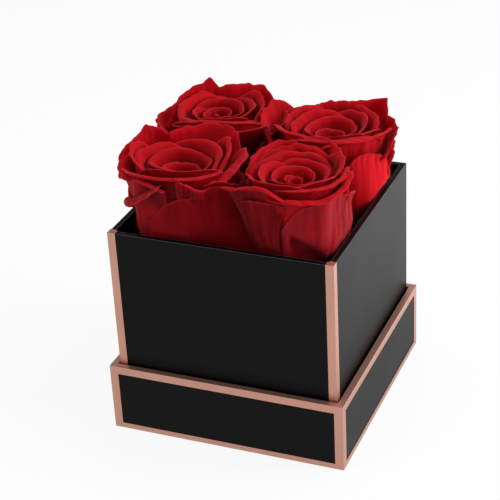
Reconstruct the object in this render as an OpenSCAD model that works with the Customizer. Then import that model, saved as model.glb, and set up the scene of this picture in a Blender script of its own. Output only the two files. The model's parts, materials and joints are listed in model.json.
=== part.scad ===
// Square flower box, standing in its own upturned lid, with four preserved roses in floral foam.
// Millimetres, +Z up. The origin is at the middle of the lid's underside, the front is -Y.

/* [Box] */
// Width of the box over its covering paper
box_w = 100; // [90:1:130]
// Depth of the box over its covering paper
box_d = 100; // [90:1:130]
// Height of the box by itself
box_h = 93.5; // [80:0.5:120]
// Thickness of the box's greyboard
box_board = 2; // [1.6:0.1:3]
// Thickness of the covering and lining papers
paper = 0.2; // [0.1:0.05:0.4]
// How far the box's covering paper is turned down inside its rim
box_turn_in = 14; // [6:1:20]

/* [Lid] */
// Height of the lid over its copper trim
lid_h = 31.8; // [20:0.1:45]
// Thickness of the lid's greyboard
lid_board = 2; // [1.6:0.1:3]
// Gap between the box and the lid's lining, on each side
lid_gap = 1.15; // [0.8:0.05:3]
// How far the lid's covering paper is turned down inside its rim
lid_turn_in = 14; // [12:1:16]

/* [Copper trim] */
// Thickness of the copper foil paper
foil = 0.2; // [0.1:0.05:0.3]
// Width of a corner strip on each face of the box
box_strip = 3.4; // [3:0.1:8]
// How far a corner strip of the box is turned down inside the rim
box_strip_turn = 5; // [2:0.5:10]
// Height of the band round the lid's rim
rim_band = 3.6; // [2:0.1:8]
// How far the rim's band is turned down inside the lid
rim_band_turn = 9; // [3:0.5:10]
// Width of a corner strip on each face of the lid
lid_strip = 3.8; // [3:0.1:8]
// Height of the band round the edge of the lid's panel
edge_band = 2.5; // [2:0.1:6]
// How far the edge's band reaches under the panel
edge_under = 6; // [3:0.5:12]

/* [Foam] */
// Height of the foam block
foam_h = 66; // [58:0.5:70]
// Gap between the foam and the box's lining, on each side
foam_gap = 0.4; // [0.2:0.1:1.5]

/* [Roses] */
// Gap between a rose's waist and the box's lining
rose_wall_gap = 1.6; // [1.4:0.1:3]
// Gap between the waists of two neighbouring roses
rose_waist_gap = 4.8; // [4:0.1:8]
// How far the rim of an open rose reaches past its waist, on average
rose_spread = 4.2; // [3:0.1:5]
// How far the tips of the guard petals reach past the waist
guard_spread = 3.6; // [2.5:0.1:4.2]
// Height of a rose above its calyx
rose_h = 48.5; // [44:0.5:52]
// Height of the guard petals above the calyx
guard_h = 37.5; // [34:0.5:42]
// Radius of the rolled heart of a rose
heart_r = 5.6; // [4.5:0.1:6]
// Diameter of a stem
stem_d = 4.6; // [3:0.1:7]
// Depth of a stem's hole in the foam
stem_hole = 36; // [20:1:50]
// Gap round a stem in its hole
stem_gap = 0.1; // [0.05:0.05:0.3]
// Bare stem between the foam and the calyx
stem_bare = 2; // [1:0.5:8]
// Height of a calyx
calyx_h = 5; // [4:0.5:8]
// Radius of a calyx, and of the receptacle that the petals stand on
calyx_r = 10; // [9:0.1:11]
// Height of the receptacle inside the petals
receptacle_h = 9; // [8:0.5:11]
// Thickness of a petal
petal = 0.5; // [0.3:0.05:0.7]
// Gap between the petals of two neighbouring roses
rose_gap = 0.5; // [0.3:0.1:2]

/* [Hidden] */
$fn = 48;
black = [0.10, 0.10, 0.10];
copper = [0.78, 0.55, 0.47];
greyboard = [0.55, 0.53, 0.50];
foam_green = [0.16, 0.25, 0.15];
stem_green = [0.25, 0.33, 0.16];
rose_red = [0.70, 0.05, 0.08];

// the lid, upturned: its panel is the floor that the box stands on
lid_wall = paper + lid_board + paper;
lid_w = box_w + 2 * (lid_gap + lid_wall);
lid_d = box_d + 2 * (lid_gap + lid_wall);
panel_z = foil + paper;
lid_floor_z = panel_z + lid_board + paper;
lid_paper_top = lid_h - foil;
lid_board_top = lid_paper_top - paper;

// the box in it
box_wall = paper + box_board + paper;
box_z = lid_floor_z;
box_top = box_z + box_h;
box_floor_z = box_z + paper + box_board + paper;
box_board_top = box_top - paper;
room_w = box_w - 2 * box_wall;
room_d = box_d - 2 * box_wall;

// the roses fill the box: as wide as its narrower side lets them be, and each in its own corner
rose_waist_r = (min(room_w, room_d) - 2 * rose_wall_gap - rose_waist_gap) / 4;
rose_r = rose_waist_r + rose_spread;
guard_r = rose_waist_r + guard_spread;
pitch_w = room_w - 2 * (rose_wall_gap + rose_waist_r);
pitch_d = room_d - 2 * (rose_wall_gap + rose_waist_r);

// the foam and what stands in it
foam_top = box_floor_z + foam_h;
calyx_z = foam_top + stem_bare;
head_z = calyx_z + calyx_h;
bore_r = stem_d / 2 + stem_gap;
receptacle_top_r = calyx_r / 2;
seat_gap = 0.1;
// a petal's width against its share of the whorl
width_ratio = 1.25;
// a petal's outline against its height: it bulges up to the waist, then opens to the lip
waist_t = 0.37;
// how far a petal leans over its neighbour, and how the five whorls step inwards and up
lean = 0.75;
whorls = 5;
waist_step = (rose_waist_r - heart_r) / whorls;
lip_step = (rose_r - heart_r) / (whorls - 1);
seat_step = receptacle_h / whorls;
// how far the petals inside the rim stay below it
inner_drop = 1.5;

// each rose has opened its own way: every 30 degrees round it, how far its rim reaches as a share of
// rose_r, and how far it rises above rose_h
reach = [
    [0.94, 0.96, 1.08, 1.02, 0.90, 1.02, 1.04, 1.08, 0.96, 0.92, 0.90, 0.90],
    [0.90, 0.78, 0.76, 0.82, 0.88, 0.87, 0.96, 1.00, 0.88, 0.87, 0.87, 0.90],
    [0.92, 0.90, 0.88, 0.85, 0.92, 1.02, 1.13, 1.13, 0.94, 0.83, 0.83, 0.85],
    [1.08, 1.00, 0.96, 0.92, 0.90, 1.08, 1.11, 0.94, 0.85, 0.85, 0.85, 0.92]];
rise = [
    [-4, -4, -2, 0, -1, 4, -3, -7, -4, -1.5, -1.5, -3],
    [-2, -1.5, 0.5, 0.5, 0, -1, -5, -7, -5, -4.5, -3.5, -2.5],
    [-4, -4, -1, 0.5, 4, 1.5, -5.5, -7, -5, -2.5, -2.5, -3],
    [-4, 3.5, -1, -2, -3, -1.5, -2, -6, -4, -4, -4, -5]];
reach_max = max([for (shares = reach) max(shares)]);
// the stretch of a rose's height over which it takes that form
form_low = 18;
form_high = 44;

// the part of a rose that its neighbours don't press flat
free_r = 12;

// rose 0 front left, 1 front right, 2 back left, 3 back right
side_x = [-1, 1, -1, 1];
side_y = [-1, -1, 1, 1];

// where a petal of the guard whorl, of the rim and of the ring inside it faces on each rose
guard_angle = [12, 28, 31, 57];
rim_angle = [8, 65, 60, 38];
ring_angle = [30, 115, 60, 40];
// how far a ring is turned on from the one outside it, and half the angle that the heart winds through
ring_step_angle = 50;
heart_angle = 300;
rose_names = ["front_left", "front_right", "back_left", "back_right"];
rose_parts = ["stem", "calyx", "guard_petals", "middle_petals", "inner_petals", "heart"];

// ---- shapes that repeat ----

// A rectangle about the middle.
module plan(w, d) {
    square([w, d], center = true);
}

// A slab from z0 to z1.
module slab(w, d, z0, z1) {
    translate([0, 0, z0]) linear_extrude(z1 - z0) plan(w, d);
}

// A square ring from z0 to z1, its wall inside w by d.
module ring(w, d, wall, z0, z1) {
    translate([0, 0, z0])
        linear_extrude(z1 - z0)
            difference() {
                plan(w, d);
                plan(w - 2 * wall, d - 2 * wall);
            }
}

// The part of a plan within reach of the corner on side sx, sy.
module corner_of(w, d, reach, sx, sy) {
    intersection() {
        children();
        translate([sx * w / 2, sy * d / 2]) plan(2 * reach, 2 * reach);
    }
}

// Front or back wall of a carton: its full width, outside at d.
module long_wall(w, d, board, z0, z1, sy) {
    translate([0, sy * (d - board) / 2, 0]) slab(w, board, z0, z1);
}

// Left or right wall, between the front and back ones.
module short_wall(w, d, board, z0, z1, sx) {
    translate([sx * (w - board) / 2, 0, 0]) slab(board, d - 2 * board, z0, z1);
}

// ---- lid ----

module lid_panel_board() {
    color(greyboard)
        slab(lid_w - 2 * (paper + lid_board), lid_d - 2 * (paper + lid_board), panel_z, panel_z + lid_board);
}

module lid_long_board(sy) {
    color(greyboard)
        long_wall(lid_w - 2 * paper, lid_d - 2 * paper, lid_board, panel_z, lid_board_top, sy);
}

module lid_short_board(sx) {
    color(greyboard)
        short_wall(lid_w - 2 * paper, lid_d - 2 * paper, lid_board, panel_z, lid_board_top, sx);
}

// Under the panel, up the walls, over the rim and down inside.
module lid_wrap_paper() {
    color(black)
        union() {
            slab(lid_w, lid_d, foil, panel_z);
            ring(lid_w, lid_d, paper, foil, lid_paper_top);
            ring(lid_w, lid_d, lid_wall, lid_board_top, lid_paper_top);
            ring(lid_w - 2 * (paper + lid_board), lid_d - 2 * (paper + lid_board), paper,
                 lid_paper_top - lid_turn_in, lid_paper_top);
        }
}

module lid_lining_paper() {
    color(black)
        union() {
            slab(lid_w - 2 * (paper + lid_board), lid_d - 2 * (paper + lid_board),
                 panel_z + lid_board, lid_floor_z);
            ring(lid_w - 2 * (paper + lid_board), lid_d - 2 * (paper + lid_board), paper,
                 panel_z + lid_board, lid_paper_top - lid_turn_in);
        }
}

module lid_rim_trim() {
    color(copper)
        union() {
            ring(lid_w + 2 * foil, lid_d + 2 * foil, foil, lid_h - rim_band, lid_h);
            ring(lid_w + 2 * foil, lid_d + 2 * foil, lid_wall + 2 * foil, lid_paper_top, lid_h);
            ring(lid_w - 2 * lid_wall, lid_d - 2 * lid_wall, foil, lid_h - rim_band_turn, lid_h);
        }
}

module lid_edge_trim() {
    color(copper)
        union() {
            ring(lid_w + 2 * foil, lid_d + 2 * foil, foil, 0, edge_band);
            ring(lid_w + 2 * foil, lid_d + 2 * foil, edge_under + foil, 0, foil);
        }
}

// Runs up a corner of the lid, from the edge's band to the rim's band.
module lid_corner_trim(sx, sy) {
    color(copper)
        translate([0, 0, edge_band])
            linear_extrude(lid_h - rim_band - edge_band)
                corner_of(lid_w + 2 * foil, lid_d + 2 * foil, lid_strip, sx, sy)
                    difference() {
                        plan(lid_w + 2 * foil, lid_d + 2 * foil);
                        plan(lid_w, lid_d);
                    }
}

// ---- box ----

module box_base_board() {
    color(greyboard)
        slab(box_w - 2 * (paper + box_board), box_d - 2 * (paper + box_board),
             box_z + paper, box_z + paper + box_board);
}

module box_long_board(sy) {
    color(greyboard)
        long_wall(box_w - 2 * paper, box_d - 2 * paper, box_board, box_z + paper, box_board_top, sy);
}

module box_short_board(sx) {
    color(greyboard)
        short_wall(box_w - 2 * paper, box_d - 2 * paper, box_board, box_z + paper, box_board_top, sx);
}

// Round the walls, over the rim and down inside.
module box_wrap_paper() {
    color(black)
        union() {
            ring(box_w, box_d, paper, box_z, box_top);
            ring(box_w, box_d, box_wall, box_board_top, box_top);
            ring(box_w - 2 * (paper + box_board), box_d - 2 * (paper + box_board), paper,
                 box_top - box_turn_in, box_top);
        }
}

module box_base_paper() {
    color(black)
        slab(box_w - 2 * paper, box_d - 2 * paper, box_z, box_z + paper);
}

module box_lining_paper() {
    color(black)
        union() {
            slab(box_w - 2 * (paper + box_board), box_d - 2 * (paper + box_board),
                 box_z + paper + box_board, box_floor_z);
            ring(box_w - 2 * (paper + box_board), box_d - 2 * (paper + box_board), paper,
                 box_z + paper + box_board, box_top - box_turn_in);
        }
}

// Up a corner, over the rim and down inside.
module box_corner_trim(sx, sy) {
    color(copper)
        union() {
            translate([0, 0, box_z])
                linear_extrude(box_h + foil)
                    corner_of(box_w + 2 * foil, box_d + 2 * foil, box_strip + foil, sx, sy)
                        difference() {
                            plan(box_w + 2 * foil, box_d + 2 * foil);
                            plan(box_w, box_d);
                        }
            translate([0, 0, box_top])
                linear_extrude(foil)
                    corner_of(box_w + 2 * foil, box_d + 2 * foil, box_strip + foil, sx, sy)
                        difference() {
                            plan(box_w + 2 * foil, box_d + 2 * foil);
                            plan(room_w - 2 * foil, room_d - 2 * foil);
                        }
            translate([0, 0, box_top - box_strip_turn])
                linear_extrude(box_strip_turn + foil)
                    corner_of(box_w + 2 * foil, box_d + 2 * foil, box_strip + foil, sx, sy)
                        difference() {
                            plan(room_w, room_d);
                            plan(room_w - 2 * foil, room_d - 2 * foil);
                        }
        }
}

// ---- flowers ----

module at_rose(i, z) {
    translate([side_x[i] * pitch_w / 2, side_y[i] * pitch_d / 2, z]) children();
}

module foam_block() {
    color(foam_green)
        difference() {
            slab(room_w - 2 * foam_gap, room_d - 2 * foam_gap, box_floor_z, foam_top);
            for (i = [0:3])
                at_rose(i, foam_top - stem_hole) cylinder(r = bore_r, h = stem_hole + 1);
        }
}

module rose_stem(i) {
    color(stem_green)
        at_rose(i, foam_top - stem_hole) cylinder(d = stem_d, h = stem_hole + stem_bare);
}

// The cup under the petals and the receptacle that they stand on.
module rose_calyx(i) {
    color(stem_green)
        at_rose(i, calyx_z)
            rotate_extrude()
                polygon([[0, 0], [stem_d / 2 + 1, 0], [calyx_r * 0.8, calyx_h * 0.4],
                         [calyx_r, calyx_h], [receptacle_top_r, calyx_h + receptacle_h],
                         [0, calyx_h + receptacle_h]]);
}

// Radius of the receptacle at height z.
function receptacle_at(z) = calyx_r + (receptacle_top_r - calyx_r) * z / receptacle_h;

// How far a rose is pressed together towards a neighbour at distance pitch, 1 being not at all.
function squeeze(pitch) =
    min(1, (pitch / 2 - rose_gap / 2 - free_r) / (rose_r * reach_max + petal - free_r));

// A coordinate pressed in where it points to the middle of the box, side being the rose's own side.
function crowd(x, side, pitch) =
    -x * side <= free_r ? x : -side * (free_r + (-x * side - free_r) * squeeze(pitch));

// Radius along a petal, from its seat r0 over its waist r1 to its lip r2.
function petal_r(r0, r1, r2, t) =
    t < waist_t
        ? r0 + (r1 - r0) * sin(90 * t / waist_t)
        : r1 + (r2 - r1) * pow((t - waist_t) / (1 - waist_t), 1.7);

// A value of a list of twelve round a rose, at angle a.
function compass(values, a) =
    let (s = a / 30, k = floor(s), f = s - k, share = f * f * (3 - 2 * f))
    values[((k % 12) + 12) % 12] * (1 - share) + values[((k % 12) + 13) % 12] * share;

// How much of its own form a rose has taken at height z.
function formed(z) =
    let (share = min(1, max(0, (z - form_low) / (form_high - form_low))))
    share * share * (3 - 2 * share);

// Radius and height of a point of rose i, in the form that the rose has opened to.
function opened_r(i, a, r, z) = r * (1 + (compass(reach[i], a) - 1) * formed(z));
function opened_z(i, a, r, z) = z + compass(rise[i], a) * formed(z) * pow(min(1, r / rose_r), 2);

// A point of a petal. u runs across it from -1 to 1, t up it from 0 to 1, and off out of its middle.
// The petal leans, so that one of its sides lies over its neighbour and the other under. Its claw is
// the share of its width that it has at its seat, seat_lean its lean there.
function petal_point(i, turn, half, claw, seat, waist, lip, z0, z1, seat_lean, lean, u, t, off) =
    let (
        width = half * (claw + (1 - claw) * min(1, t / 0.4)),
        round_off = 1 - 0.15 * pow(abs(u), 3) * t,
        tilt = seat_lean + (lean - seat_lean) * min(1, t / 0.2),
        r = petal_r(seat, waist, lip, t * round_off) + tilt * u + off,
        a = turn + width * u,
        z = z0 + (z1 - z0) * t * round_off,
        out = opened_r(i, a, r, z)
    )
    [crowd(out * cos(a), side_x[i], pitch_w), crowd(out * sin(a), side_y[i], pitch_d), opened_z(i, a, r, z)];

// One petal of rose i as a closed sheet of across by up fields.
module one_petal(i, turn, half, claw, seat, waist, lip, z0, z1, seat_lean, lean, across, up) {
    row = across + 1;
    layer = row * (up + 1);
    points = [
        for (off = [-petal / 2, petal / 2], v = [0:up], h = [0:across])
            petal_point(i, turn, half, claw, seat, waist, lip, z0, z1, seat_lean, lean,
                        2 * h / across - 1, v / up, off)
    ];
    inner = [for (v = [0:up - 1], h = [0:across - 1]) let (a = v * row + h) [a, a + 1, a + row + 1, a + row]];
    outer = [for (f = inner) [layer + f[3], layer + f[2], layer + f[1], layer + f[0]]];
    rim = concat(
        [for (h = [0:across - 1]) h],
        [for (v = [0:up - 1]) v * row + across],
        [for (h = [0:across - 1]) layer - 1 - h],
        [for (v = [0:up - 1]) (up - v) * row]);
    edge = [
        for (k = [0:len(rim) - 1])
            let (a = rim[k], b = rim[(k + 1) % len(rim)])
            [a, a + layer, b + layer, b]
    ];
    at_rose(i, head_z) polyhedron(points, concat(inner, outer, edge));
}

// Whorl k of rose i on the receptacle, 0 being the guard petals.
module whorl(i, k, count, turn, lip, top, across, up) {
    seat_z = max(seat_gap, k * seat_step);
    for (n = [0:count - 1])
        one_petal(i, turn + n * 360 / count, 180 / count * width_ratio, 0.6,
                  receptacle_at(seat_z) + petal / 2 + seat_gap, rose_waist_r - k * waist_step,
                  lip - lean - petal / 2, seat_z, top, 0, lean, across, up);
}

module rose_guard_petals(i) {
    color(rose_red) whorl(i, 0, 5, guard_angle[i], guard_r, guard_h, 8, 5);
}

// The rim of the rose and the first ring inside it.
module rose_middle_petals(i) {
    color(rose_red) {
        whorl(i, 1, 5, rim_angle[i], rose_r, rose_h, 8, 6);
        whorl(i, 2, 3, ring_angle[i], rose_r - lip_step, rose_h - inner_drop, 10, 5);
    }
}

module rose_inner_petals(i) {
    color(rose_red)
        for (k = [3, 4])
            whorl(i, k, 3, ring_angle[i] + k * ring_step_angle,
                  rose_r - (k - 1) * lip_step, rose_h - inner_drop, 8, 4);
}

// The innermost petal, rolled up on itself.
module rose_heart(i) {
    color(rose_red)
        one_petal(i, ring_angle[i], heart_angle, 1, receptacle_top_r * 0.55, heart_r * 0.6, heart_r * 0.64,
                  receptacle_h + seat_gap, rose_h - 2 * inner_drop, receptacle_top_r * 0.3, heart_r * 0.32,
                  26, 3);
}

lid_panel_board();
lid_long_board(-1);  // lid_front_board
lid_long_board(1);  // lid_back_board
lid_short_board(-1);  // lid_left_board
lid_short_board(1);  // lid_right_board
lid_wrap_paper();
lid_lining_paper();
lid_rim_trim();
lid_edge_trim();
lid_corner_trim(-1, -1);  // lid_corner_trim_front_left
lid_corner_trim(1, -1);  // lid_corner_trim_front_right
lid_corner_trim(-1, 1);  // lid_corner_trim_back_left
lid_corner_trim(1, 1);  // lid_corner_trim_back_right
box_base_board();
box_long_board(-1);  // box_front_board
box_long_board(1);  // box_back_board
box_short_board(-1);  // box_left_board
box_short_board(1);  // box_right_board
box_wrap_paper();
box_base_paper();
box_lining_paper();
box_corner_trim(-1, -1);  // box_corner_trim_front_left
box_corner_trim(1, -1);  // box_corner_trim_front_right
foam_block();
for (i = [0:3]) {
    rose_stem(i);
    rose_calyx(i);
    rose_guard_petals(i);
    rose_middle_petals(i);
    rose_inner_petals(i);
    rose_heart(i);
}
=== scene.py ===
import json
import math
import random

import bmesh
import bpy
from mathutils import Matrix, Quaternion, Vector, noise


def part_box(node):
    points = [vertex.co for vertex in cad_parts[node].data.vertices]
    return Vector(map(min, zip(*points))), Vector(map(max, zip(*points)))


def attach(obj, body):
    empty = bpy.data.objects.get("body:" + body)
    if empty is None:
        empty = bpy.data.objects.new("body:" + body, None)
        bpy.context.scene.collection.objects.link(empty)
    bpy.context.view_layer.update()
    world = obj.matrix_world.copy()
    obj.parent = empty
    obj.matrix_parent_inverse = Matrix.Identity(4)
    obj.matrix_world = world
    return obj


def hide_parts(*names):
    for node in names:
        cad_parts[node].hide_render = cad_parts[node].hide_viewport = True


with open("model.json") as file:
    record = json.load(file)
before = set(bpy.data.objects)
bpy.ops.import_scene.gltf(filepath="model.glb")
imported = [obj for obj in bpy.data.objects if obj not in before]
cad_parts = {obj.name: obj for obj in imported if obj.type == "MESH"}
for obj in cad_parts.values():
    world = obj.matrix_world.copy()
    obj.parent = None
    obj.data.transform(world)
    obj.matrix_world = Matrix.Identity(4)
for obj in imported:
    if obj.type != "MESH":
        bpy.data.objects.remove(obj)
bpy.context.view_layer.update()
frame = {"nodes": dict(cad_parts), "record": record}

nodes = frame["nodes"]
mm = 0.001
scene = bpy.context.scene
roseNames = ["front_left", "front_right", "back_left", "back_right"]


class Wire:
    # shader maths: the output of a node, on which Python's operators can be used
    def __init__(self, recipe, socket):
        self.recipe = recipe
        self.socket = socket

    def maths(self, operation, other, swap=False):
        values = {0: other, 1: self} if swap else {0: self, 1: other}
        return self.recipe.node("ShaderNodeMath", {"operation": operation}, values)

    def __add__(self, other):
        return self.maths("ADD", other)

    def __sub__(self, other):
        return self.maths("SUBTRACT", other)

    def __rsub__(self, other):
        return self.maths("SUBTRACT", other, swap=True)

    def __mul__(self, other):
        return self.maths("MULTIPLY", other)

    def __truediv__(self, other):
        return self.maths("DIVIDE", other)

    def __rtruediv__(self, other):
        return self.maths("DIVIDE", other, swap=True)

    def clamp(self):
        return self.maths("MINIMUM", 1.0).maths("MAXIMUM", 0.0)

    __radd__ = __add__
    __rmul__ = __mul__


class Recipe:
    # the nodes that a material, or the world, is made of
    def __init__(self, owner):
        self.owner = owner
        self.owner.use_nodes = True
        self.tree = self.owner.node_tree
        self.tree.nodes.clear()

    def node(self, kind, settings=None, values=None, out=0):
        new = self.tree.nodes.new(kind)
        for key, value in (settings or {}).items():
            setattr(new, key, value)
        for key, value in (values or {}).items():
            if isinstance(value, Wire):
                self.tree.links.new(value.socket, new.inputs[key])
            else:
                new.inputs[key].default_value = value
        return Wire(self, new.outputs[out]) if new.outputs else None

    def mix(self, share, first, second):
        return self.node("ShaderNodeMix", {"data_type": "RGBA"}, {0: share, 6: first, 7: second}, out=2)

    def dot(self, first, second):
        return self.node("ShaderNodeVectorMath", {"operation": "DOT_PRODUCT"}, {0: first, 1: second}, out=1)

    def objectPlace(self):
        return self.node("ShaderNodeTexCoord", out="Object")

    def stretched(self, place, scale):
        return self.node("ShaderNodeMapping", values={0: place, "Scale": scale})

    def grain(self, place, scale, detail=3.0, roughness=0.5):
        values = {"Vector": place, "Scale": scale, "Detail": detail, "Roughness": roughness}
        return self.node("ShaderNodeTexNoise", values=values)

    def bump(self, height, strength, distance):
        values = {"Height": height, "Strength": strength, "Distance": distance}
        return self.node("ShaderNodeBump", values=values)

    def edgeHighlightShare(self, radius, contrast):
        # how close a point is to a sharp edge, from 0 on a face to 1 at the edge; it places a painted
        # highlight along edges
        flat = self.node("ShaderNodeNewGeometry", out="Normal")
        rounded = self.node("ShaderNodeBevel", {"samples": 8}, {"Radius": radius})
        return ((1 - self.dot(flat, rounded)) * contrast).clamp()

    def finish(self, values):
        shader = self.node("ShaderNodeBsdfPrincipled", values=values)
        self.node("ShaderNodeOutputMaterial", values={"Surface": shader})
        return self.owner


def blackPaper():
    # fold and the two numbers after it: a painted highlight along the paper's rounded edges, its colour,
    # width and sharpness
    look = {"colour": (0.0006, 0.0006, 0.0007, 1), "worn": (0.0030, 0.0030, 0.0032, 1), "rough": 0.34,
            "gloss": 1.20, "fold": (0.150, 0.150, 0.154, 1), "highlightWide": 0.0004, "highlightContrast": 3.4,
            "fibre": 2600, "fibreLong": (1, 1, 0.35), "cloud": 38, "relief": 0.25, "depth": 0.00004}
    r = Recipe(bpy.data.materials.new("satin black paper"))
    place = r.objectPlace()
    fibre = r.grain(r.stretched(place, look["fibreLong"]), look["fibre"], 4)
    cloud = r.grain(place, look["cloud"], 2)
    rough = look["rough"] + fibre * 0.10 + cloud * 0.06
    plain = r.mix((fibre * 0.5 + cloud * 0.3).clamp(), look["colour"], look["worn"])
    # painted highlight: the paper turns lighter along its edges, where light would catch the rounded fold
    colour = r.mix(r.edgeHighlightShare(look["highlightWide"], look["highlightContrast"]), plain, look["fold"])
    bump = r.bump(fibre, look["relief"], look["depth"])
    return r.finish({"Base Color": colour, "Roughness": rough, "Normal": bump, "IOR": look["gloss"]})


def copperFoil():
    look = {"colour": (0.66, 0.352, 0.270, 1), "deep": (0.54, 0.276, 0.206, 1), "rough": 0.30,
            "metal": 0.85, "brush": 3200, "brushLong": (1, 1, 0.06), "cloud": 55, "relief": 0.2,
            "depth": 0.00006}
    r = Recipe(bpy.data.materials.new("copper foil paper"))
    place = r.objectPlace()
    brushed = r.grain(r.stretched(place, look["brushLong"]), look["brush"], 3)
    cloud = r.grain(place, look["cloud"], 3)
    colour = r.mix((cloud * 0.8 + brushed * 0.2).clamp(), look["colour"], look["deep"])
    rough = look["rough"] + brushed * 0.14 + cloud * 0.08
    bump = r.bump(brushed * 0.5 + cloud, look["relief"], look["depth"])
    return r.finish({"Base Color": colour, "Roughness": rough, "Metallic": look["metal"], "Normal": bump})


def greyboard():
    look = {"colour": (0.30, 0.28, 0.25, 1), "fleck": (0.17, 0.16, 0.15, 1), "rough": 0.85, "pulp": 900,
            "layers": 260, "relief": 0.4, "depth": 0.0001}
    r = Recipe(bpy.data.materials.new("greyboard"))
    place = r.objectPlace()
    pulp = r.grain(place, look["pulp"], 5, 0.7)
    layers = r.grain(place, look["layers"], 3)
    colour = r.mix((pulp * 1.6 - 0.5).clamp(), look["colour"], look["fleck"])
    bump = r.bump(pulp + layers, look["relief"], look["depth"])
    return r.finish({"Base Color": colour, "Roughness": look["rough"] + layers * 0.1, "Normal": bump})


def floralFoam():
    look = {"colour": (0.035, 0.085, 0.035, 1), "pore": (0.008, 0.022, 0.010, 1), "rough": 0.95,
            "pores": 1400.0, "cloud": 90, "relief": 0.6, "depth": 0.0003}
    r = Recipe(bpy.data.materials.new("floral foam"))
    place = r.objectPlace()
    pore = r.node("ShaderNodeTexVoronoi", {"feature": "F1"}, {"Vector": place, "Scale": look["pores"]})
    cloud = r.grain(place, look["cloud"], 3)
    hole = (1.4 - pore * 2.2).clamp()
    colour = r.mix((hole * 0.8 + cloud * 0.2).clamp(), look["colour"], look["pore"])
    bump = r.bump(pore, look["relief"], look["depth"])
    return r.finish({"Base Color": colour, "Roughness": look["rough"] - hole * 0.1, "Normal": bump})


def stemGreen():
    look = {"colour": (0.060, 0.110, 0.028, 1), "dry": (0.130, 0.120, 0.045, 1), "rough": 0.55, "ribs": 900,
            "ribLong": (1, 1, 0.08), "spots": 260, "relief": 0.5, "depth": 0.0002}
    r = Recipe(bpy.data.materials.new("dried stem"))
    place = r.objectPlace()
    ribs = r.grain(r.stretched(place, look["ribLong"]), look["ribs"], 3)
    spots = r.grain(place, look["spots"], 4)
    colour = r.mix((ribs * 0.6 + spots * 0.7 - 0.15).clamp(), look["colour"], look["dry"])
    bump = r.bump(ribs + spots * 0.5, look["relief"], look["depth"])
    return r.finish({"Base Color": colour, "Roughness": look["rough"] + spots * 0.25, "Normal": bump})


def rosePetal():
    # v runs up a petal from its seat to its rim; tone and dust are set on it place by place, and tone holds
    # the petal's own tone together with painted shade and painted light
    # of these colours, the third is a painted lit red for strongly lit petals, and the fifth a painted
    # sheen along the rims
    look = {"deep": (0.115, 0.0006, 0.003, 1), "red": (0.485, 0.0030, 0.0074, 1),
            "paintedLitRed": (0.66, 0.006, 0.014, 1), "dusty": (0.27, 0.014, 0.021, 1),
            "rim": (0.38, 0.010, 0.022, 1), "rimFrom": 0.955, "veins": (46, 3.2, 1), "blush": 110,
            "nap": 4200, "mottle": 330, "rough": 0.52, "relief": 0.55, "depth": 0.0005, "gloss": 1.12}
    r = Recipe(bpy.data.materials.new("preserved rose petal"))
    place = r.objectPlace()
    uv = r.node("ShaderNodeUVMap", {"uv_map": "petal"})
    v = r.node("ShaderNodeSeparateXYZ", values={0: uv}, out="Y")
    tone = r.node("ShaderNodeAttribute", {"attribute_name": "tone"}, out="Fac")
    dust = r.node("ShaderNodeAttribute", {"attribute_name": "dust"}, out="Fac")
    veins = r.grain(r.stretched(uv, look["veins"]), 1.0, 4, 0.6)
    blush = r.grain(place, look["blush"], 3)
    nap = r.grain(place, look["nap"], 2)
    mottle = r.grain(place, look["mottle"], 4)
    # painted shade: the body darkens towards its seat, deep in the flower, down to the deep colour
    up = r.node("ShaderNodeMath", {"operation": "SMOOTH_MIN"}, {0: v * 1.25, 1: 1.0, 2: 0.25})
    share = (up * 0.42 + tone * 0.50 + blush * 0.34 + veins * 0.08 - 0.18).clamp()
    body = r.mix(share, look["deep"], look["red"])
    # painted light: a petal whose tone goes above 1 turns the brighter red of a strongly lit face
    body = r.mix(((tone - 1) * 1.2 + blush * 0.3 - 0.15).clamp(), body, look["paintedLitRed"])
    dusted = dust * (blush * 0.8 + mottle * 1.2 - 0.35) * (share * 1.5 + 0.1)
    body = r.mix(dusted.clamp(), body, look["dusty"])
    # painted sheen: the rim turns lighter and pinker, as light catches it
    rim = ((v - look["rimFrom"]) * 25).clamp() * 0.6
    colour = r.mix(rim, body, look["rim"])
    rough = look["rough"] + nap * 0.16 + blush * 0.08
    height = veins * 0.28 + nap * 0.10 + blush * 0.5 + mottle * (dust * 0.9 + 0.3)
    bump = r.bump(height, look["relief"], look["depth"])
    values = {"Base Color": colour, "Roughness": rough, "Normal": bump, "Subsurface Weight": 0.30,
              "Subsurface Radius": (1.0, 0.12, 0.10), "Subsurface Scale": 0.003, "Sheen Weight": 0.12,
              "Sheen Roughness": 0.45, "Sheen Tint": (1.0, 0.38, 0.40, 1), "IOR": look["gloss"]}
    return r.finish(values)


finishes = {"black_paper": blackPaper(), "copper_foil": copperFoil(), "greyboard": greyboard(),
            "floral_foam": floralFoam(), "rose_green": stemGreen(), "rose_petal": rosePetal()}
slotOf = {row["node"]: row["material_slot"] for row in frame["record"]["subparts"]}
for name, piece in nodes.items():
    piece.data.materials.clear()
    piece.data.materials.append(finishes[slotOf[name]])
print("carton, foam and stems: finished", len(nodes), "nodes")


roseCentres = {}
for name in roseNames:
    low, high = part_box(name + "_calyx")
    roseCentres[name] = Vector(((low[0] + high[0]) / 2, (low[1] + high[1]) / 2))


def smooth(t):
    t = min(1.0, max(0.0, t))
    return t * t * (3 - 2 * t)


def along(values, u):
    # a smooth curve through five values, from one side edge of a petal (u -1) to the other (u 1)
    k = min(3, int((u + 1) * 2))
    f = (u + 1) * 2 - k
    a, b, c, d = values[max(0, k - 1)], values[k], values[k + 1], values[min(4, k + 2)]
    return b + 0.5 * f * (c - a + f * (2 * a - 5 * b + 4 * c - d + f * (3 * (b - c) + d - a)))


def bezier(a, b, c, d, t):
    s = 1 - t
    return s * s * s * a + 3 * s * s * t * b + 3 * s * t * t * c + t * t * t * d


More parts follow.
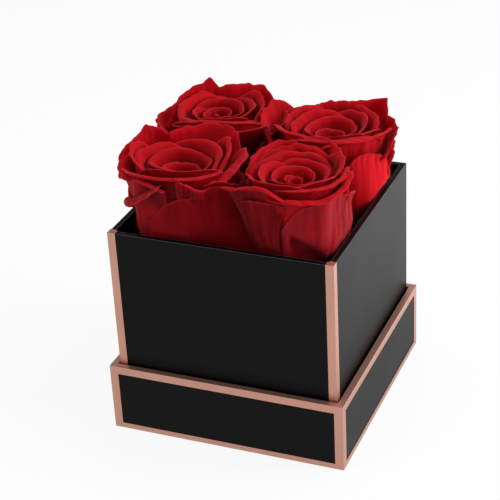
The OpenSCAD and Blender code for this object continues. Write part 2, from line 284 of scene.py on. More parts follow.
# a petal in millimetres, its heights from the ground. Five values run from one side edge to the other
plainPetal = {
    "turn": 0, "span": 45, "sway": 0.0,  # the way it faces, half of its angle, how far its foot turns aside
    "claw": 0.55, "taper": 1.5,  # how narrow its foot is, and how fast it widens
    "out": (24, 24, 24, 24, 24), "high": (122, 124, 125, 124, 122),  # distance and height of its rim
    "tip": 0.0, "tipAt": 0.0, "corner": 2.5,  # a point on the rim, where it is, and how far the ends drop
    "curl": (1.8, 1.4, 0.9, 1.4, 1.8),  # how far the rim rolls outwards, in radians
    "rolled": 3.6, "rollFrom": 0.80,  # how long the roll is, and where it starts
    "seat": 8, "seatTop": 80,  # distance and height of its foot
    "belly": 19, "neck": -1.6,  # how the body swells, and how it leans below the rim
    "skirt": 0.0, "loose": 0,  # the flare of its right side low down, and 1 if no neighbour presses it
    "lean": 0.7, "wave": 1.35, "pleat": 0.35, "ruffle": 0.9,  # how uneven its body and its rim are
    "crease": 0.0, "creaseAt": 0.1, "creaseWide": 0.18,  # a groove that runs up it
    "shift": (0, 0),  # how far its rim is moved, across and along the carton
    "tone": 0.5, "dust": 0.0, "seed": 0.0,  # how light it is, which is its own tone together with painted shade or painted light, how faded it is, and which noise it takes
    "patches": (), "fold": None}  # places of painted shade or painted light, pushed in or out, and a crease across it with painted shade under it

# what all petals share, u running across them from -1 to 1 and t up them from 0 to 1
petalForm = {
    "slope": 0.30, "lowHandle": 0.15, "highHandle": 0.70,  # the curve of a body, as shares of its rise
    "leastCurl": 0.02, "tipWide": 0.12, "cornerFrom": 0.6,
    "broad": (1.5, 1.4), "small": (4.6, 2.6), "smallShare": 0.45,  # waves: how close, across and up
    "pleats": (10, 1.6), "ripples": (7.5, 0.8), "fineRipples": 13, "fineShare": 0.5,
    "rimOnly": 8, "rippleUp": 0.7, "waveUp": 0.45,  # how fast ripples fade below the rim, how far they lift
    "waveGrowth": 1.4, "swayGrowth": 1.2, "skirtGrowth": 2.2, "skirtFade": 1.15,  # how fast, going up
    "foldStart": 0.12, "foldEnd": 0.25, "foldEdge": 0.05}  # how gently a crease begins, ends and steps in


def petal(**changes):
    made = dict(plainPetal)
    made.update(changes)
    return made


# a place on a petal darkened by painted shade or lightened by painted light, and pushed in or out
def patch(u, t, wide, tall, tone, push=0.0):
    return {"u": u, "t": t, "wide": wide, "tall": tall, "tone": tone, "push": push}


def patchShare(spot, u, t):
    return math.exp(-((u - spot["u"]) / spot["wide"]) ** 2 - ((t - spot["t"]) / spot["tall"]) ** 2)


def foldShare(fold, u, t):
    # 1 just under the crease, fading down the petal and towards the crease's ends
    form = petalForm
    line = fold["from"][1] + (u - fold["from"][0]) * fold["slope"]
    under = line - t
    ends = smooth((u - fold["from"][0]) / form["foldStart"]) * smooth((fold["to"] - u) / form["foldEnd"])
    return smooth(under / form["foldEdge"]) * (1 - smooth(under / fold["tall"])) * ends


def petalProfile(p, u, t):
    # distance and height on a petal that has no waves yet: a curve from the foot to the rim, and the roll
    form = petalForm
    rim, top = along(p["out"], u), along(p["high"], u)
    end = max(0.0, (abs(u) - form["cornerFrom"]) / (1 - form["cornerFrom"]))
    top += p["tip"] * math.exp(-abs(u - p["tipAt"]) / form["tipWide"]) - p["corner"] * end ** 2
    curl = along(p["curl"], u)
    if abs(curl) < form["leastCurl"]:
        curl = form["leastCurl"]
    neck = rim + p["neck"]
    heading = math.atan2(form["slope"] * (top - p["seatTop"]), rim - neck)
    radius = p["rolled"] / curl
    crest = min(curl, heading)
    top -= radius * (math.cos(heading - crest) - math.cos(heading))
    rise = top - p["seatTop"]
    flat = min(1.0, t / p["rollFrom"])
    r = bezier(p["seat"], p["belly"], neck, rim, flat)
    z = p["seatTop"] + bezier(0, form["lowHandle"] * rise, form["highHandle"] * rise, rise, flat)
    if t > p["rollFrom"]:
        angle = heading - curl * (t - p["rollFrom"]) / (1 - p["rollFrom"])
        r += radius * (math.sin(heading) - math.sin(angle))
        z += radius * (math.cos(angle) - math.cos(heading))
    return r, z, flat


def petalPoint(p, u, t):
    form, seed = petalForm, p["seed"]
    r, z, flat = petalProfile(p, u, t)
    broad = noise.noise(Vector((u * form["broad"][0] + seed, t * form["broad"][1], seed * 0.37)))
    small = noise.noise(Vector((u * form["small"][0] + seed * 3, t * form["small"][1], 7.0)))
    pleats = noise.noise(Vector((u * form["pleats"][0] + seed * 2, t * form["pleats"][1], seed)))
    ripple = noise.noise(Vector((u * form["ripples"][0] + seed * 5, seed, t * form["ripples"][1])))
    ripple += form["fineShare"] * noise.noise(Vector((u * form["fineRipples"] + seed * 5, seed, 3.0)))
    ripple *= p["ruffle"]
    nearRim = flat ** form["rimOnly"]
    fade = smooth(flat * form["waveGrowth"])
    waves = (broad + small * form["smallShare"]) * p["wave"] + pleats * p["pleat"]
    r += waves * fade + p["lean"] * u * fade
    flare = smooth(flat * form["skirtGrowth"]) * (1 - smooth((flat - 1) * form["skirtFade"] + 1))
    r += p["skirt"] * max(0.0, u) ** 2 * flare
    r -= p["crease"] * math.exp(-((u - p["creaseAt"]) / p["creaseWide"]) ** 2) * fade
    for spot in p["patches"]:
        r += spot["push"] * patchShare(spot, u, t)
    if p["fold"]:
        r -= p["fold"]["deep"] * foldShare(p["fold"], u, t)
    r += ripple * nearRim
    z += small * p["wave"] * form["waveUp"] * flat ** 3 + ripple * form["rippleUp"] * nearRim
    width = p["claw"] + (1 - p["claw"]) * smooth(flat * p["taper"])
    aside = p["sway"] * (1 - smooth(flat * form["swayGrowth"]))
    a = math.radians(p["turn"] + aside + p["span"] * width * u)
    share = smooth(flat)
    return Vector((r * math.cos(a) + p["shift"][0] * share, r * math.sin(a) + p["shift"][1] * share, z))


# pairs: what the middle of the heart has, and how much more the last inner petal has; a third number bends
# the growth between them
innerStyle = {
    "heart": 3, "inner": 6,  # how many petals
    "golden": 137.5, "turnStep": 57, "wobble": 10,  # degrees: from petal to petal, rose to rose, at random
    "top": 125.0, "uneven": 0.7,  # how high a heart would stand that isn't sunken
    "out": (2.2, 14.3, 0.85), "drop": (0.5, 2.8), "spiral": (0.5, 0.4), "curl": (1.0, 0.8),
    "curlEnds": 0.5, "swing": 0.6, "outSwing": 1.4,  # how far rims stray, edge to edge
    "creases": (0, 0, 1.2), "creaseAt": 0.5, "tones": (0.25, 0.7),
    "petal": {"span": (135, -58, 0.7), "rolled": (2.0, 1.6), "rollFrom": (0.92, -0.07), "seat": (1.6, 5.5),
              "seatTop": (87, -5), "belly": (2.0, 12), "neck": (1.2, -3.4), "claw": (0.9, -0.3),
              "wave": (0.3, 0.8), "corner": (1, 2), "ruffle": (0.15, 0.4)}}


def grown(share, start, more, bend=1):
    return start + more * share ** bend


def innerPetals(kind, rose):
    # petals follow each other by the golden angle, from the rolled heart outwards
    style, draw = innerStyle, random.Random(rose["seed"])
    first = 0 if kind == "heart" else style["heart"]
    made = []
    for k in range(first, first + style[kind]):
        share = k / (style["heart"] + style["inner"] - 1)
        out, drop = grown(share, *style["out"]), grown(share, *style["drop"])
        spiral, curl = grown(share, *style["spiral"]), grown(share, *style["curl"])
        sunken = rose["sink"] * (1 - share) ** 1.5
        top = style["top"] - sunken + draw.uniform(-style["uneven"], style["uneven"])
        swing = [draw.uniform(-style["swing"], style["swing"]) * share for _ in range(5)]
        wobble = draw.uniform(-style["wobble"], style["wobble"])
        ends = style["curlEnds"] * share
        made.append(petal(
            turn=rose["seed"] * style["turnStep"] + k * style["golden"] + wobble,
            out=tuple(out + (i - 2) * spiral + s * style["outSwing"] for i, s in enumerate(swing)),
            high=tuple(top - drop * (abs(i - 2) / 2) ** 2 + s for i, s in enumerate(swing)),
            curl=tuple(curl + ends * abs(i - 2) + s for i, s in enumerate(swing)),
            crease=draw.choice(style["creases"]) * share,
            creaseAt=draw.uniform(-style["creaseAt"], style["creaseAt"]), lean=0.1, shift=rose["heartAt"],
            seed=draw.uniform(0, 50), tone=draw.uniform(*style["tones"]),
            **{key: grown(share, *values) for key, values in style["petal"].items()}))
    return made


# the room that a rose has, in millimetres: to the carton's wall, over whose rim petals may flare, and to
# the next rose, which squeezes what reaches further than free, less and less towards a petal's rim
room = {"wallGap": 1.2, "rimGap": 1.4, "flare": 1.3, "give": 2, "free": 15.0, "squeeze": 0.7,
        "easeFrom": 0.45, "easeOver": 0.4}
wallAway = (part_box("box_lining_paper")[1][0] - roseCentres["back_right"].x) / mm - room["wallGap"]
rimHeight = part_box("box_wrap_paper")[1][2] / mm + room["rimGap"]


def pressed(value, side, z, t, loose):
    # held by the carton's wall low down, and unless it is loose by the next rose on the other side
    outward = value * side
    limit = wallAway + max(0.0, z - rimHeight) * room["flare"] - room["give"]
    if outward > limit:
        outward = limit + room["give"] * (1 - math.exp(-(outward - limit) / room["give"]))
    if -outward > room["free"] and not loose:
        eased = smooth((t - room["easeFrom"]) / room["easeOver"])
        share = room["squeeze"] + (1 - room["squeeze"]) * eased
        outward = -room["free"] - (-outward - room["free"]) * share
    return outward * side


# grids: how finely a petal is divided, across and up. The number after thickness: how much painted shade
# darkens a petal under a fold
roseStyle = {
    "thickness": 0.45 * mm, "underFoldShade": 1.1,
    "grids": {"heart": (24, 12), "inner_petals": (24, 14), "middle_petals": (34, 20),
              "guard_petals": (40, 26)}}


def petalMesh(bm, p, centre, across, up):
    made = bmesh.ops.create_grid(bm, x_segments=across, y_segments=up, size=1.0, calc_uvs=False)
    uv = bm.loops.layers.uv["petal"]
    tone, dust = bm.verts.layers.float["tone"], bm.verts.layers.float["dust"]
    sideX, sideY = (1 if centre.x > 0 else -1), (1 if centre.y > 0 else -1)
    for vert in made["verts"]:
        u, t = vert.co.x, (vert.co.y + 1) / 2
        for loop in vert.link_loops:
            loop[uv].uv = (u / 2 + 0.5, t)
        # the vertex tone is the petal's own tone plus painted shade and painted light from its patches,
        # less painted shade under a fold
        vert[tone] = p["tone"] + sum(spot["tone"] * patchShare(spot, u, t) for spot in p["patches"])
        if p["fold"]:
            vert[tone] -= roseStyle["underFoldShade"] * foldShare(p["fold"], u, t)
        vert[dust] = p["dust"]
        point = petalPoint(p, u, t)
        x = pressed(point.x, sideX, point.z, t, p["loose"])
        y = pressed(point.y, sideY, point.z, t, p["loose"])
        vert.co = (centre.x + x * mm, centre.y + y * mm, point.z * mm)


def roseBody(name, kind, petals):
    across, up = roseStyle["grids"][kind]
    bm = bmesh.new()
    bm.loops.layers.uv.new("petal")
    bm.verts.layers.float.new("tone")
    bm.verts.layers.float.new("dust")
    for p in petals:
        petalMesh(bm, p, roseCentres[name], across, up)
    mesh = bpy.data.meshes.new(name + "_" + kind)
    bm.to_mesh(mesh)
    bm.free()
    piece = bpy.data.objects.new(name + "_" + kind + "_soft", mesh)
    scene.collection.objects.link(piece)
    mesh.materials.append(finishes["rose_petal"])
    mesh.shade_smooth()
    sheet = piece.modifiers.new("thickness", "SOLIDIFY")
    sheet.thickness, sheet.offset = roseStyle["thickness"], 0
    finer = piece.modifiers.new("finer", "SUBSURF")
    finer.levels = finer.render_levels = 1
    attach(piece, "flower_insert")
    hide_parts(name + "_" + kind)


# each rose's middle and guard petals, placed one by one. sink: how deep its heart lies, in millimetres.
# heartAt: how far the heart stands off the rose's centre line
# tone, set petal by petal and in patches, is partly painted shade and painted light: guard petals in the
# heads' shade are set darker, strongly lit ones lighter
frontLeft = {
    "seed": 3, "sink": 12.0, "heartAt": (0, -1),
    "middle": [
        petal(turn=30, span=48, out=(16, 17, 18, 18.5, 19), high=(121, 125, 126, 126, 122), tone=0.7,
              seed=1.2),
        petal(turn=286, span=65, out=(20, 18.5, 18, 18, 18), high=(121, 125.4, 125.8, 125.4, 121.5),
              curl=(1.6, 1.2, 1.0, 1.3, 1.8), belly=16, tone=0.5, seed=2.9),
        petal(turn=200, span=54, out=(24, 22.5, 20.5, 18.5, 17), high=(121, 125, 125, 124, 120),
              curl=(1.2, 1.8, 1.6, 1.2, 1.0), belly=18, tone=0.7, seed=4.1),
        petal(turn=161, span=34, out=(21, 26.6, 27.4, 25.6, 25), high=(125, 127, 126, 123.5, 118),
              tip=2.6, tipAt=-0.30, curl=(0.8, 0.5, 0.3, 1.2, 2.0), tone=0.45, seed=5.5),
        petal(turn=87, span=44, out=(25.6, 27.4, 24.8, 22, 20.6), high=(121, 126.8, 127, 127, 125.6),
              tip=2.6, tipAt=-0.77, corner=0, curl=(0.2, 0.3, 0.6, 0.8, 1.0), tone=0.75, seed=6.3,
              patches=(patch(-0.75, 0.85, 0.3, 0.25, 0.5),)),
        petal(turn=0, span=30, out=(20.5, 19.8, 19.6, 20.6, 19), high=(119.5, 121.6, 122.6, 123.2, 124.2),
              corner=0, curl=(2.0, 1.9, 1.7, 1.5, 1.3), rolled=8, belly=19, neck=-4, ruffle=0.35,
              tone=0.5, seed=7.7, patches=(patch(0.8, 0.5, 0.4, 0.3, -0.8),)),
        petal(turn=275, span=57, out=(26, 25.3, 24.5, 24, 22.5), high=(122.5, 124.6, 125, 125, 124.6),
              corner=0, curl=(1.4, 2.2, 2.4, 2.4, 2.2), belly=21, tone=0.6, seed=8.1,
              patches=(patch(0.05, 0.70, 0.5, 0.15, -2.2), patch(0.95, 0.6, 0.2, 0.4, -1.0),
                       patch(0.55, 0.78, 0.2, 0.06, 0.4))),
        petal(turn=228, span=48, out=(25, 26.4, 25.8, 25.2, 24.8), high=(122, 119.6, 120.6, 122.6, 121),
              tip=-1.6, tipAt=-0.2, corner=1, curl=(1.4, 2.2, 2.4, 2.2, 2.0), neck=-4, tone=0.55,
              seed=9.4, patches=(patch(0.8, 0.70, 0.4, 0.2, -1.2),)),
        petal(turn=298, span=13, claw=0.4, out=(25.5, 26, 26.3, 26.5, 26.5),
              high=(126, 124, 122.2, 120.6, 120.4), corner=0, curl=(1.4, 1.8, 1.8, 1.8, 1.4), belly=20,
              neck=-3, tone=0.7, seed=8.5, patches=(patch(0.0, 0.7, 1.0, 0.14, -1.6),)),
        petal(turn=327, span=16, claw=0.4, out=(25.5, 25.9, 26.1, 26.4, 26.5),
              high=(121.4, 122.2, 121.4, 119.6, 118), corner=0, curl=(1.0, 1.4, 1.4, 1.4, 1.0), belly=20,
              neck=-3, tone=1.1, seed=9.0)],
    "guard": [
        petal(turn=243, span=29, out=(23.4, 24.2, 24.6, 24.4, 23.2),
              high=(108.4, 110.6, 113.8, 118.2, 121.5), corner=0, curl=(3.0, 3.2, 3.2, 2.8, 2.0),
              rolled=7.5, rollFrom=0.74, belly=27, neck=-4.0, pleat=0.8, tone=0.45, dust=0.9, seed=11.0,
              patches=(patch(0.75, 0.55, 0.5, 0.25, -1.6, -3.0), patch(-0.4, 0.45, 0.25, 0.3, 0.5),
                       patch(0.2, 0.94, 0.9, 0.07, 0.5), patch(0.0, 0.78, 0.7, 0.08, -0.8))),
        petal(turn=298, span=50, out=(23.5, 24, 24.5, 26, 29), high=(101.5, 112.5, 117, 120, 113.5),
              tip=-1.6, tipAt=-0.02, corner=0, curl=(0.3, 0.4, 0.5, 0.4, 0.3), belly=29, neck=0.6,
              skirt=26, loose=1, wave=0.5, tone=-0.15, seed=12.6,
              patches=(patch(0.75, 0.96, 0.15, 0.06, 0.7), patch(-0.35, 0.75, 0.25, 0.3, -0.3, -0.6))),
        petal(turn=0, span=42, out=(24, 26, 26, 26, 24), high=(106, 112, 113, 112, 108), belly=27,
              tone=0.3, seed=13.7),
        petal(turn=85, span=44, out=(24, 26, 26, 26, 24), high=(106, 112, 112, 111, 108), belly=27,
              tone=-0.5, seed=14.2),
        petal(turn=170, span=46, out=(21, 22, 22, 22, 22), high=(106, 111, 112, 110, 106), belly=26,
              tone=0.5, dust=0.3, seed=15.9)]}
frontRight = {
    "seed": 8, "sink": 4.5, "heartAt": (2.5, -2),
    "middle": [
        petal(turn=115, span=54, out=(20, 18.5, 18, 18, 16), high=(123, 125.6, 125.4, 124, 121), tone=0.5,
              seed=21.1),
        petal(turn=255, span=70, out=(17, 17.5, 18, 18, 18.5), high=(121, 124.5, 125.6, 125.4, 121.5),
              curl=(1.4, 1.4, 1.2, 1.4, 1.6), belly=17, tone=0.5, seed=22.3),
        petal(turn=14, span=56, out=(18.5, 18.5, 18.5, 19, 19), high=(121, 125, 126, 126.2, 123),
              belly=16, tone=0.45, seed=23.7),
        petal(turn=142, span=44, out=(20.8, 23.6, 22, 19, 17.2), high=(126.3, 125.4, 124.7, 123.2, 121),
              curl=(0.8, 1.0, 1.2, 1.6, 1.8), tone=0.6, seed=24.4),
        petal(turn=59, span=50, out=(18.8, 19.8, 22.6, 25, 21), high=(119, 124.4, 125.8, 127, 124.4),
              curl=(1.4, 1.0, 0.8, 0.8, 0.8), tone=0.65, seed=25.2),
        petal(turn=322, span=52, out=(21, 21.8, 22.6, 22, 20), high=(124.8, 125.2, 125, 125.2, 125),
              corner=0, curl=(0.8, 1.8, 2.2, 2.4, 1.8), neck=-3, tone=0.7, seed=26.9),
        petal(turn=242, span=48, sway=18, taper=0.75, out=(28, 26.5, 25.6, 24.6, 24),
              high=(117, 120.6, 124.6, 126.4, 121.5), corner=0, curl=(1.2, 2.2, 2.4, 2.4, 1.8), neck=-4,
              tone=0.5, seed=27.3,
              patches=(patch(-0.5, 0.5, 0.7, 0.3, -1.6), patch(0.1, 0.74, 0.9, 0.1, -1.0))),
        petal(turn=315, span=48, out=(24.5, 25, 25, 23.6, 21), high=(122, 122, 121, 123, 125.4), corner=0,
              curl=(2.0, 2.6, 2.8, 2.4, 1.8), rolled=4.2, belly=21, neck=-3, tone=0.6, seed=28.8)],
    "guard": [
        petal(turn=313, span=37, out=(22.5, 24.6, 25.4, 25.2, 24.5), high=(107, 116.6, 119.4, 121, 118),
              corner=0, curl=(0.3, 0.4, 0.7, 1.2, 1.8), belly=29, neck=-0.5, wave=1.6, pleat=0.5,
              tone=0.25, dust=0.85, seed=31.4,
              fold={"from": (-0.80, 0.72), "slope": -0.34, "to": 0.30, "deep": 2.4, "tall": 0.42},
              patches=(patch(0.27, 0.78, 0.16, 0.26, 0.9, 1.0), patch(-0.3, 0.86, 0.2, 0.14, -0.3, -0.6),
                       patch(0.45, 0.42, 0.28, 0.12, 0.5, 0.8), patch(0.85, 0.6, 0.14, 0.4, -0.7, -0.8),
                       patch(0.0, 0.60, 0.4, 0.03, 0.3, 0.6), patch(-0.98, 0.5, 0.1, 0.5, 0.5))),
        petal(turn=258, span=25, sway=18, claw=0.16, taper=0.8, out=(24, 24, 23.6, 23.1, 23),
              high=(117, 119, 119.5, 119.5, 119), corner=0, belly=27, neck=-0.5, wave=1.5, pleat=0.4,
              tone=-0.45, dust=0.1, seed=32.2,
              patches=(patch(0.75, 0.9, 0.4, 0.15, -0.6), patch(-0.8, 0.6, 0.25, 0.4, -0.4))),
        petal(turn=10, span=28, out=(22.6, 23.4, 23.6, 23, 22.5), high=(113, 116, 115, 112, 108),
              curl=(2.0, 1.6, 1.0, 1.0, 1.0), belly=28, neck=-1, tone=0.3, dust=0.6, seed=33.6),
        petal(turn=85, span=44, out=(24, 26, 26, 26, 24), high=(106, 114, 116, 113, 108), belly=27,
              tone=0.4, seed=34.2),
        petal(turn=164, span=42, out=(22, 24, 25, 23, 20), high=(106, 111, 111, 110, 106), belly=23,
              tone=-0.5, seed=35.9)]}
backRight = {
    "seed": 5, "sink": 8.0, "heartAt": (0.5, 0),
    "middle": [
        petal(turn=40, span=56, out=(18, 18, 18, 18.5, 19), high=(120, 124, 125, 125, 121), tone=0.5,
              seed=41.1),
        petal(turn=160, span=50, out=(19.5, 20, 19.5, 18, 17), high=(121, 124, 124, 123, 120), belly=16,
              tone=0.5, seed=42.3),
        petal(turn=291, span=56, out=(19, 18.6, 18, 18, 18.5), high=(121.5, 125.6, 125.8, 125.6, 122.5),
              belly=15, tone=0.4, seed=43.7),
        petal(turn=176, span=34, out=(24, 30, 30.5, 28, 25), high=(121, 127, 126.4, 123.4, 118),
              curl=(1.0, 0.8, 0.8, 1.4, 1.8), tone=0.6, seed=44.4),
        petal(turn=122, span=37, out=(21, 21, 20.5, 22.5, 25), high=(124, 124.2, 123.2, 123, 121.8),
              tip=0.9, tipAt=-0.33, corner=0, curl=(0.8, 0.8, 0.8, 0.9, 1.0), tone=0.7, seed=45.8),
        petal(turn=71, span=31, out=(25.5, 29.6, 22.4, 20.5, 20), high=(121.5, 126, 125.6, 124.6, 124.4),
              tip=3.6, tipAt=-0.63, corner=0, curl=(0.1, 0.2, 0.7, 0.9, 1.0), ruffle=0.3, tone=0.75,
              seed=45.2),
        petal(turn=14, span=36, out=(26.6, 26.8, 27, 25.8, 25.4), high=(114, 119.4, 120.6, 120.4, 121.5),
              tip=1.0, tipAt=0.0, corner=0, curl=(1.2, 0.8, 0.5, 0.6, 0.8), neck=-3, tone=0.3, seed=46.9),
        petal(turn=231, span=54, out=(25, 22, 21, 20.8, 20), high=(120, 123.5, 125.6, 126.4, 123),
              curl=(1.6, 2.0, 2.2, 2.2, 1.6), neck=-3, tone=0.6, seed=47.3),
        petal(turn=290, span=58, out=(24.5, 23, 22.6, 22.5, 22), high=(122.5, 125.6, 126.2, 125.8, 123),
              curl=(1.8, 2.2, 2.4, 2.2, 1.6), neck=-3, tone=0.55, seed=48.8),
        petal(turn=316, span=48, out=(25, 25, 24.8, 24.4, 22.8), high=(121, 126, 125.6, 124.8, 123.2),
              corner=0, curl=(1.8, 2.2, 2.4, 2.0, 1.6), neck=-3, tone=0.6, seed=49.3,
              patches=(patch(0.15, 0.62, 0.12, 0.2, 0.6, 0.8),))],
    "guard": [
        petal(turn=331, span=33, out=(24, 25.6, 26.4, 26, 24.4), high=(112, 118.2, 117.8, 112.5, 100),
              curl=(0.4, 0.5, 0.7, 0.7, 0.8), belly=30, neck=0.2, wave=0.5, pleat=0.12, tone=1.5,
              seed=51.4,
              patches=(patch(-0.85, 0.7, 0.2, 0.4, -0.7), patch(0.9, 0.6, 0.15, 0.4, -0.6))),
        petal(turn=262, span=44, out=(25, 26, 26, 25, 24), high=(104, 111, 113, 111, 104), belly=27,
              tone=0.3, seed=52.2),
        petal(turn=22, span=34, out=(24, 24.6, 24.8, 24.4, 24), high=(102, 110, 113, 112, 106),
              curl=(1.4, 1.8, 1.8, 1.4, 1.2), belly=28, neck=-1, tone=0.6, dust=0.4, seed=53.6),
        petal(turn=105, span=46, out=(24, 26, 26, 26, 24), high=(106, 114, 116, 113, 108), belly=27,
              tone=0.4, seed=54.2),
        petal(turn=185, span=46, out=(24, 25, 26, 26, 25), high=(104, 110, 111, 110, 106), belly=27,
              tone=-0.5, seed=55.9)]}
backLeft = {
    "seed": 11, "sink": 4.0, "heartAt": (-5, 2),
    "middle": [
        petal(turn=40, span=60, out=(15, 15.5, 16, 17, 18), high=(121, 124.6, 125.6, 126, 122),
              shift=(-2, 1), tone=0.5, seed=61.1),
        petal(turn=170, span=56, out=(18, 19, 20, 19, 18), high=(122, 125, 124.6, 123.5, 121), belly=17,
              shift=(-2, 1), tone=0.65, seed=62.3),
        petal(turn=285, span=62, out=(16.5, 14.5, 13.5, 13.5, 13.5), high=(122, 125.6, 126.4, 126, 123),
              belly=15, shift=(-2, 0), tone=0.45, seed=63.7),
        petal(turn=150, span=38, out=(24, 24.5, 26.5, 27.5, 27), high=(123, 127.5, 127, 121.5, 116),
              tip=3.4, tipAt=-0.5, curl=(0.8, 0.2, 0.6, 1.4, 2.2), tone=0.6, seed=64.4),
        petal(turn=87, span=44, out=(22, 24.2, 22.8, 21.5, 23), high=(119.5, 125.6, 127, 127, 125.6),
              corner=1, curl=(0.8, 0.6, 0.8, 0.8, 1.0), tone=0.6, seed=65.2),
        petal(turn=8, span=46, out=(22, 23, 24, 24, 23), high=(115, 119, 121, 122, 120),
              curl=(1.6, 1.2, 0.9, 0.9, 1.2), neck=-3, tone=0.2, seed=66.9,
              patches=(patch(-0.6, 0.55, 0.7, 0.3, -1.2),)),
        petal(turn=273, span=60, out=(23.5, 19, 18, 18.6, 20), high=(123, 125.4, 127.2, 126.6, 126.4),
              curl=(1.8, 2.2, 2.2, 2.2, 1.8), neck=-3, tone=0.6, seed=67.3),
        petal(turn=278, span=62, out=(24.5, 20.8, 19.8, 20.8, 22), high=(121, 123, 123.8, 123, 123.6),
              corner=0, curl=(1.8, 1.8, 1.4, 1.8, 1.8), rolled=3, neck=-3, tone=0.35, seed=69.9,
              patches=(patch(0.7, 0.55, 0.6, 0.28, -1.5),)),
        petal(turn=192, span=34, out=(27.5, 29, 31.5, 28, 25), high=(121, 120.5, 119.4, 118.6, 119),
              curl=(2.4, 3.4, 4.0, 2.6, 1.8), rolled=4, neck=-4, tone=0.5, seed=68.8)],
    "guard": [
        petal(turn=25, span=46, out=(24, 25, 26, 26, 25), high=(104, 111, 113, 111, 106), belly=27,
              tone=0.3, seed=71.9),
        petal(turn=100, span=46, out=(24, 26, 27, 26, 24), high=(104, 111, 114, 112, 106), belly=27,
              tone=0.4, seed=72.2),
        petal(turn=172, span=44, out=(24, 26, 27, 26, 24), high=(104, 110, 112, 110, 104), belly=28,
              tone=0.7, seed=73.9),
        petal(turn=240, span=44, out=(23, 24, 25, 25, 24), high=(106, 114, 115, 112, 108), belly=27,
              tone=0.1, seed=74.2),
        petal(turn=312, span=46, out=(23, 25, 26, 26, 25), high=(104, 110, 110, 109, 106), belly=27,
              tone=-0.6, seed=75.9)]}

roses = {"front_left": frontLeft, "front_right": frontRight, "back_left": backLeft, "back_right": backRight}
for name, rose in roses.items():
    roseBody(name, "heart", innerPetals("heart", rose))
    roseBody(name, "inner_petals", innerPetals("inner", rose))
    roseBody(name, "middle_petals", rose["middle"])
    roseBody(name, "guard_petals", rose["guard"])
    print("rose:", name)


# the camera sees floor and world white. A gloss sees the floor with painted shade beside the carton and a
# painted pool of light on the side that the key softbox stands on, and the world as a dim fill
studio = {
    "size": 6.0, "paint": (0.86, 0.86, 0.86, 1), "white": (1, 1, 1, 1), "target": (0, 0, 0.1),
    "glow": 0.88, "fill": 0.32,  # how much of the floor's white is its own, and how bright the fill is
    "towards": (0.8, 0.6, 0), "steep": 4, "midway": 0.4,  # the way the floor grows brighter, and how fast
    "dimSide": (0.98, 0.98, 0.98, 1), "brightSide": (1.6, 1.6, 1.6, 1),
    "nearBoxShade": (0.85, 0.85, 0.85, 1), "nearTo": 0.06, "nearFade": 0.16}


def floorFinish():
    r = Recipe(bpy.data.materials.new("white sweep"))
    seen = r.node("ShaderNodeLightPath", out="Is Camera Ray")
    mirrored = r.node("ShaderNodeLightPath", out="Is Glossy Ray")
    through = r.node("ShaderNodeLightPath", out="Is Transmission Ray")
    share = (seen + mirrored + through).clamp() * studio["glow"]
    place = r.objectPlace()
    away = r.node("ShaderNodeVectorMath", {"operation": "LENGTH"}, {0: place}, out=1)
    bright = (r.dot(place, studio["towards"]) * studio["steep"] + studio["midway"]).clamp()
    sheen = r.mix(bright, studio["dimSide"], studio["brightSide"])
    # painted shade: the floor's glow, as a gloss sees it, dims close to the carton
    sheen = r.mix(((away - studio["nearTo"]) / studio["nearFade"]).clamp(), studio["nearBoxShade"], sheen)
    paint = r.node("ShaderNodeBsdfDiffuse", values={"Color": studio["paint"]})
    lit = r.mix(mirrored, studio["white"], sheen)
    glow = r.node("ShaderNodeEmission", values={"Color": lit, "Strength": 1.0})
    both = r.node("ShaderNodeMixShader", values={0: share, 1: paint, 2: glow})
    r.node("ShaderNodeOutputMaterial", values={"Surface": both})
    return r.owner


def studioWorld():
    r = Recipe(bpy.data.worlds.new("studio"))
    seen = r.node("ShaderNodeLightPath", out="Is Camera Ray")
    fill = r.node("ShaderNodeBackground", values={"Color": studio["white"], "Strength": studio["fill"]})
    white = r.node("ShaderNodeBackground", values={"Color": studio["white"], "Strength": 1.0})
    both = r.node("ShaderNodeMixShader", values={0: seen, 1: fill, 2: white})
    r.node("ShaderNodeOutputWorld", values={"Surface": both})
    return r.owner


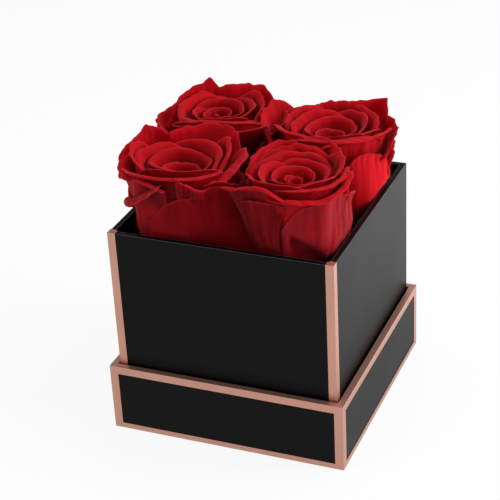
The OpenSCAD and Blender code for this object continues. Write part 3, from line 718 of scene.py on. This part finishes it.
floorMesh = bpy.data.meshes.new("floor")
bm = bmesh.new()
bmesh.ops.create_grid(bm, x_segments=1, y_segments=1, size=studio["size"] / 2)
bm.to_mesh(floorMesh)
bm.free()
floor = bpy.data.objects.new("floor", floorMesh)
scene.collection.objects.link(floor)
floorMesh.materials.append(floorFinish())
scene.world = studioWorld()

lamps = {"key softbox": {"place": (0.95, 0.10, 0.50), "size": 0.6, "power": 9},
         "left softbox": {"place": (-0.70, -0.70, 0.50), "size": 0.6, "power": 2.5},
         "top softbox": {"place": (0.10, 0.20, 1.1), "size": 0.9, "power": 6.4}}


def softbox(name, lamp):
    data = bpy.data.lights.new(name, "AREA")
    data.shape = "RECTANGLE"
    data.size = data.size_y = lamp["size"]
    data.energy = lamp["power"]
    box = bpy.data.objects.new(name, data)
    scene.collection.objects.link(box)
    box.location = lamp["place"]
    box.rotation_mode = "QUATERNION"
    box.rotation_quaternion = (Vector(studio["target"]) - Vector(lamp["place"])).to_track_quat("-Z", "Y")


for name, lamp in lamps.items():
    softbox(name, lamp)
print("studio: floor, world and softboxes")

# where the camera stands in metres, and how it is turned in radians: elevation is how far it looks down
shot = {"place": (0.230050, -0.549531, 0.390437), "azimuth": 0.407422, "elevation": 0.493228,
        "roll": -0.0546758, "lens": 110.205, "sensor": 36.0, "nearest": 0.01, "farthest": 20}
cameraData = bpy.data.cameras.new("camera")
cameraData.lens, cameraData.sensor_width = shot["lens"], shot["sensor"]
cameraData.clip_start, cameraData.clip_end = shot["nearest"], shot["farthest"]
camera = bpy.data.objects.new("camera", cameraData)
scene.collection.objects.link(camera)
sa, ca = math.sin(shot["azimuth"]), math.cos(shot["azimuth"])
se, ce = math.sin(shot["elevation"]), math.cos(shot["elevation"])
forward = Vector((-sa * ce, ca * ce, -se))
right = Vector((ca, sa, 0))
upward = right.cross(forward)
turned = Quaternion(forward, -shot["roll"])
right, upward = turned @ right, turned @ upward
stance = Matrix((right, upward, -forward)).transposed().to_4x4()
camera.matrix_world = Matrix.Translation(shot["place"]) @ stance
scene.camera = camera

scene.view_settings.view_transform = "Standard"
